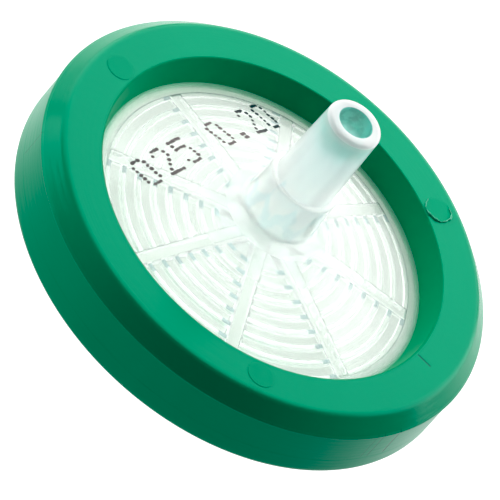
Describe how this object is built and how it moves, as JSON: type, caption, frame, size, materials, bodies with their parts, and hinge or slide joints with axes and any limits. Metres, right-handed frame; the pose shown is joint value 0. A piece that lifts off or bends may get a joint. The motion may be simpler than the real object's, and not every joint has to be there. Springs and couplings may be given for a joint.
{
  "type": "syringe filter",
  "caption": "Disposable disc syringe filter: translucent shells clamped round a membrane by a green overmoulded ring, slip tip outlet, lock hub inlet.",
  "frame": {"origin": "middle of the inlet hub's end face, on which the filter stands", "axes": "+Z along the flow axis, from the inlet hub to the outlet tip; +X through the middle of one lock lug"},
  "size_m": [0.034, 0.034, 0.026],
  "materials": {
    "natural_plastic": "translucent natural polypropylene, moulded",
    "membrane": "white porous membrane",
    "green_plastic": "green polypropylene, satin moulded"
  },
  "bodies": {
    "root": {"outlet_shell": "natural_plastic", "inlet_shell": "natural_plastic", "membrane": "membrane", "overmould_ring": "green_plastic"}
  },
  "joints": []
}
